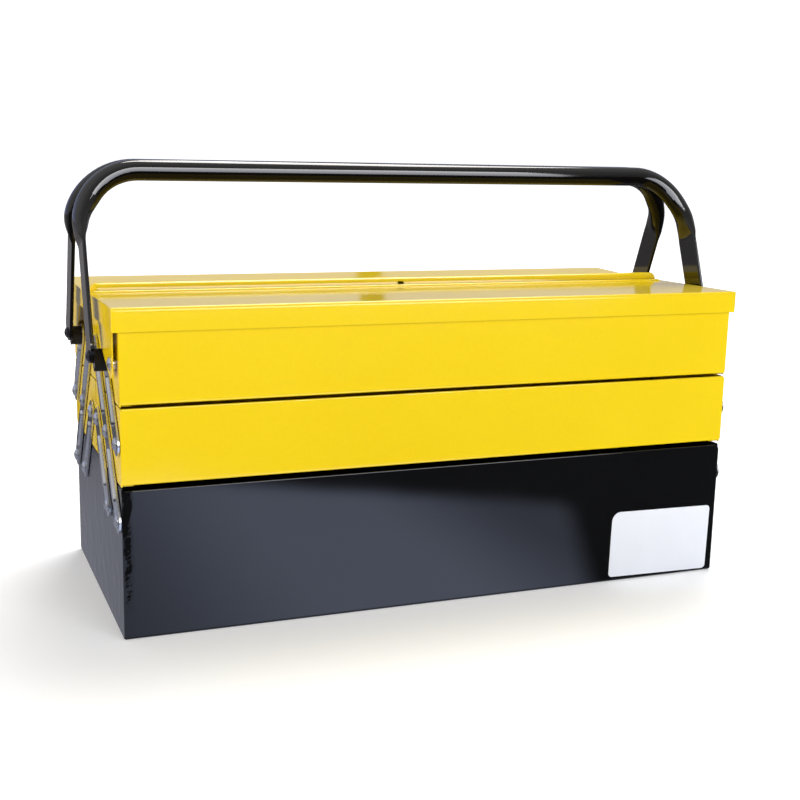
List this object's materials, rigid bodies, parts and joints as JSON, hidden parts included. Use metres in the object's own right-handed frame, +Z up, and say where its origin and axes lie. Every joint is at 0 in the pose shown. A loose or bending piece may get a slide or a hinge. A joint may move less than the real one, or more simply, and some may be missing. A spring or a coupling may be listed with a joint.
{
  "type": "drawer tool box",
  "caption": "Cantilever tool box of folded sheet steel: black base, yellow trays that swing out on linkage arms, lifting lids and twin carrying handles.",
  "frame": {"origin": "on the ground, under the middle of the closed box", "axes": "+X along the length of the box to the user's right, +Y from the front to the rear, +Z up"},
  "size_m": [0.4708, 0.1994, 0.298],
  "materials": {
    "yellow_enamel": "glossy yellow enamel on folded sheet steel, slightly wavy",
    "black_enamel": "glossy black enamel on folded sheet steel",
    "black_tube": "semi-gloss black enamel on steel tube",
    "zinc_plate": "bright zinc plating, lightly scuffed",
    "black_plastic": "matt black moulding",
    "white_label": "satin white adhesive label, blank"
  },
  "bodies": {
    "base": {"base_pan": "black_enamel", "base_end_left": "black_enamel", "base_end_right": "black_enamel", "base_pivot_rivets": "zinc_plate", "front_label": "white_label"},
    "front_arm_pair": {"front_arm_left": "zinc_plate", "front_arm_right": "zinc_plate"},
    "front_tray_lower": {"front_lower_tray_pan": "yellow_enamel", "front_lower_tray_end_left": "yellow_enamel", "front_lower_tray_end_right": "yellow_enamel", "front_lower_tray_rivets": "zinc_plate"},
    "front_tray_upper": {"front_upper_tray_pan": "yellow_enamel", "front_upper_tray_end_left": "yellow_enamel", "front_upper_tray_end_right": "yellow_enamel", "front_upper_tray_rivets": "zinc_plate"},
    "front_link_pair": {"front_lower_link_left": "zinc_plate", "front_lower_link_right": "zinc_plate"},
    "front_handle_frame": {"front_handle": "black_tube", "front_handle_spacers": "black_plastic", "front_handle_rivets": "zinc_plate", "front_upper_link_left": "zinc_plate", "front_upper_link_right": "zinc_plate"},
    "front_cover": {"front_lid": "yellow_enamel", "front_lid_ears": "yellow_enamel"},
    "rear_arm_pair": {"rear_arm_left": "zinc_plate", "rear_arm_right": "zinc_plate"},
    "rear_tray_lower": {"rear_lower_tray_pan": "yellow_enamel", "rear_lower_tray_end_left": "yellow_enamel", "rear_lower_tray_end_right": "yellow_enamel", "rear_lower_tray_rivets": "zinc_plate"},
    "rear_tray_upper": {"rear_upper_tray_pan": "yellow_enamel", "rear_upper_tray_end_left": "yellow_enamel", "rear_upper_tray_end_right": "yellow_enamel", "rear_upper_tray_rivets": "zinc_plate"},
    "rear_link_pair": {"rear_lower_link_left": "zinc_plate", "rear_lower_link_right": "zinc_plate"},
    "rear_handle_frame": {"rear_handle": "black_tube", "rear_handle_spacers": "black_plastic", "rear_handle_rivets": "zinc_plate", "rear_upper_link_left": "zinc_plate", "rear_upper_link_right": "zinc_plate"},
    "rear_cover": {"rear_lid": "yellow_enamel", "rear_lid_ears": "yellow_enamel"}
  },
  "joints": [
    {"name": "front_arm_swing", "type": "hinge", "parent": "base", "child": "front_arm_pair", "pos_m": [0, -0.09, 0.0765], "axis": [1, 0, 0], "range_deg": [0, 76]},
    {"name": "front_lower_tray_level", "type": "hinge", "parent": "front_arm_pair", "child": "front_tray_lower", "pos_m": [0, -0.0515, 0.126], "axis": [1, 0, 0], "range_deg": [-76, 0]},
    {"name": "front_upper_tray_level", "type": "hinge", "parent": "front_arm_pair", "child": "front_tray_upper", "pos_m": [0, -0.013, 0.1755], "axis": [1, 0, 0], "range_deg": [-76, 0]},
    {"name": "front_lower_link_swing", "type": "hinge", "parent": "base", "child": "front_link_pair", "pos_m": [0, -0.0515, 0.0765], "axis": [1, 0, 0], "range_deg": [0, 76]},
    {"name": "front_handle_swing", "type": "hinge", "parent": "front_tray_lower", "child": "front_handle_frame", "pos_m": [0, -0.09, 0.126], "axis": [1, 0, 0], "range_deg": [0, 76]},
    {"name": "front_lid_lift", "type": "hinge", "parent": "front_tray_upper", "child": "front_cover", "pos_m": [0, -0.0865, 0.176], "axis": [1, 0, 0], "range_deg": [0, 78]},
    {"name": "rear_arm_swing", "type": "hinge", "parent": "base", "child": "rear_arm_pair", "pos_m": [0, 0.09, 0.0765], "axis": [-1, 0, 0], "range_deg": [0, 76]},
    {"name": "rear_lower_tray_level", "type": "hinge", "parent": "rear_arm_pair", "child": "rear_tray_lower", "pos_m": [0, 0.0515, 0.126], "axis": [-1, 0, 0], "range_deg": [-76, 0]},
    {"name": "rear_upper_tray_level", "type": "hinge", "parent": "rear_arm_pair", "child": "rear_tray_upper", "pos_m": [0, 0.013, 0.1755], "axis": [-1, 0, 0], "range_deg": [-76, 0]},
    {"name": "rear_lower_link_swing", "type": "hinge", "parent": "base", "child": "rear_link_pair", "pos_m": [0, 0.0515, 0.0765], "axis": [-1, 0, 0], "range_deg": [0, 76]},
    {"name": "rear_handle_swing", "type": "hinge", "parent": "rear_tray_lower", "child": "rear_handle_frame", "pos_m": [0, 0.09, 0.126], "axis": [-1, 0, 0], "range_deg": [0, 76]},
    {"name": "rear_lid_lift", "type": "hinge", "parent": "rear_tray_upper", "child": "rear_cover", "pos_m": [0, 0.0865, 0.176], "axis": [-1, 0, 0], "range_deg": [0, 78]}
  ],
  "couplings": [
    {"joint": "front_lower_tray_level", "follows": "front_arm_swing", "ratio": -1},
    {"joint": "front_upper_tray_level", "follows": "front_arm_swing", "ratio": -1},
    {"joint": "front_lower_link_swing", "follows": "front_arm_swing", "ratio": 1},
    {"joint": "front_handle_swing", "follows": "front_arm_swing", "ratio": 1},
    {"joint": "rear_lower_tray_level", "follows": "rear_arm_swing", "ratio": -1},
    {"joint": "rear_upper_tray_level", "follows": "rear_arm_swing", "ratio": -1},
    {"joint": "rear_lower_link_swing", "follows": "rear_arm_swing", "ratio": 1},
    {"joint": "rear_handle_swing", "follows": "rear_arm_swing", "ratio": 1}
  ]
}
